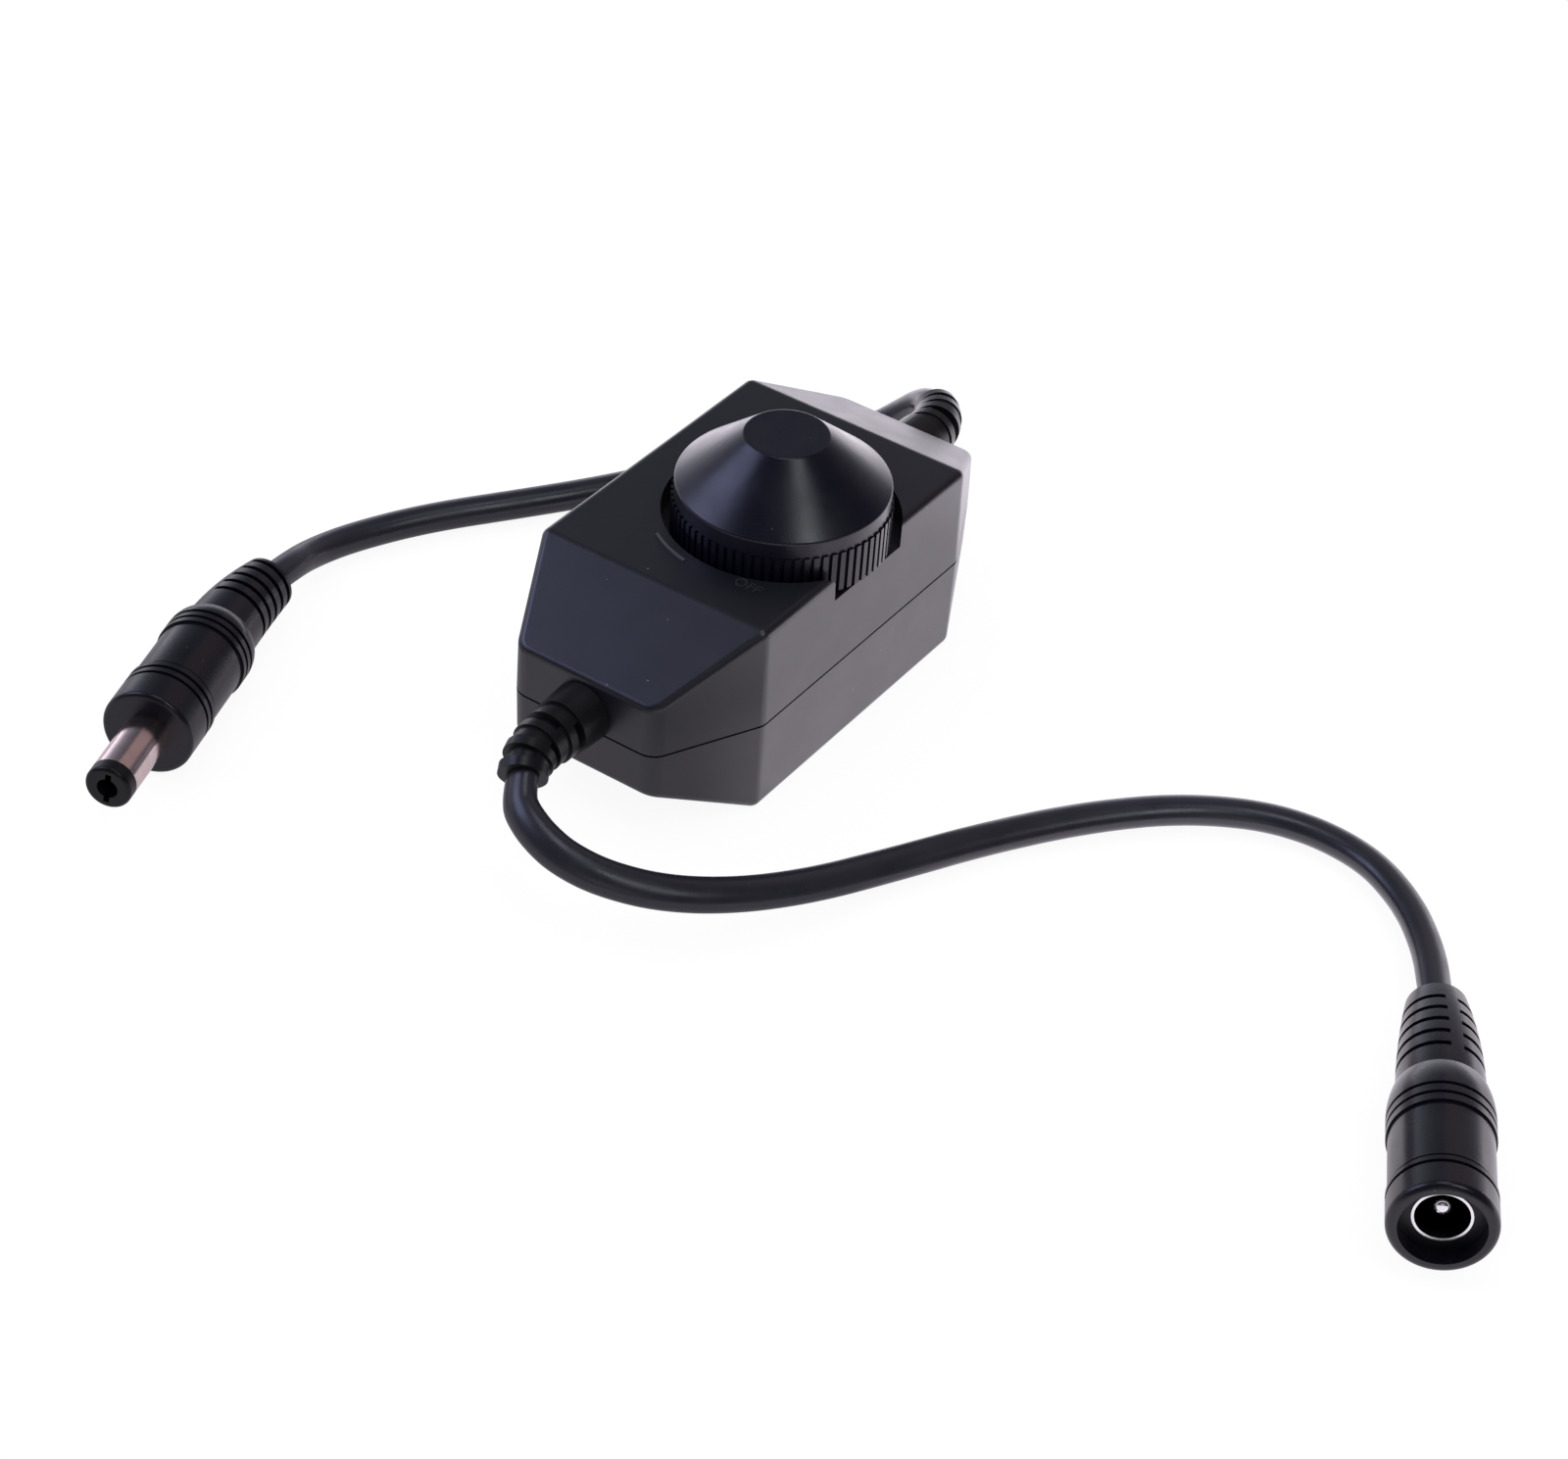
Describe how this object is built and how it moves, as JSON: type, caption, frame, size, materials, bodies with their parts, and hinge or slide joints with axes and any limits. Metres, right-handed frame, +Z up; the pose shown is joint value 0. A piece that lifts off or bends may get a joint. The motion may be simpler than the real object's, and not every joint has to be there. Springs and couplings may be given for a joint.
{
  "type": "rotary dimmer",
  "caption": "In-line rotary dimmer for low-voltage lamps: ramped two-part case, conical thumb knob in a round well, slotted cord glands, and short cords to a round power jack and plug.",
  "frame": {"origin": "middle of the case's underside, on the surface it lies on", "axes": "+X from the input end to the output end, +Z up out of the knob, +Y away from the thumb slot"},
  "size_m": [0.1198, 0.1711, 0.0361],
  "materials": {
    "case": "fine satin, moulded",
    "screw": "zinc plated",
    "knob": "satin",
    "pot_base": "pressed laminate",
    "pot_metal": "plated sheet",
    "shaft": "turned",
    "brass": "bare spring brass",
    "board": "coated laminate",
    "chip": "moulded",
    "can": "drawn can",
    "gland": "matte, moulded",
    "cord": "smooth sheath, slight sheen",
    "lead_red": "smooth sheath",
    "lead_black": "smooth sheath",
    "grip": "satin, moulded",
    "insert": "moulded",
    "contact": "nickel plated"
  },
  "bodies": {
    "dimmer_body": {"top_shell": "case", "bottom_shell": "case", "case_screws": "screw", "pot_base": "pot_base", "pot_cover": "pot_metal", "pot_pins": "brass", "circuit_board": "board", "mosfet": "chip", "timer_chip": "chip", "capacitor": "can", "diode": "chip", "resistors": "chip", "input_gland": "gland", "output_gland": "gland", "input_cable": "cord", "output_cable": "cord", "input_positive_lead": "lead_red", "output_positive_lead": "lead_red", "input_negative_lead": "lead_black", "output_negative_lead": "lead_black", "jack_overmould": "grip", "jack_insert": "insert", "jack_sleeve": "contact", "jack_pin": "contact", "plug_overmould": "grip", "plug_barrel": "contact", "plug_insulator": "insert", "plug_contact": "brass"},
    "knob_rotor": {"knob": "knob", "pot_shaft": "shaft", "pot_wiper": "brass"}
  },
  "joints": [
    {"name": "knob_turn", "type": "hinge", "parent": "dimmer_body", "child": "knob_rotor", "pos_m": [0, -0.0035, 0], "axis": [0, 0, 1], "range_deg": [-150, 150]}
  ]
}
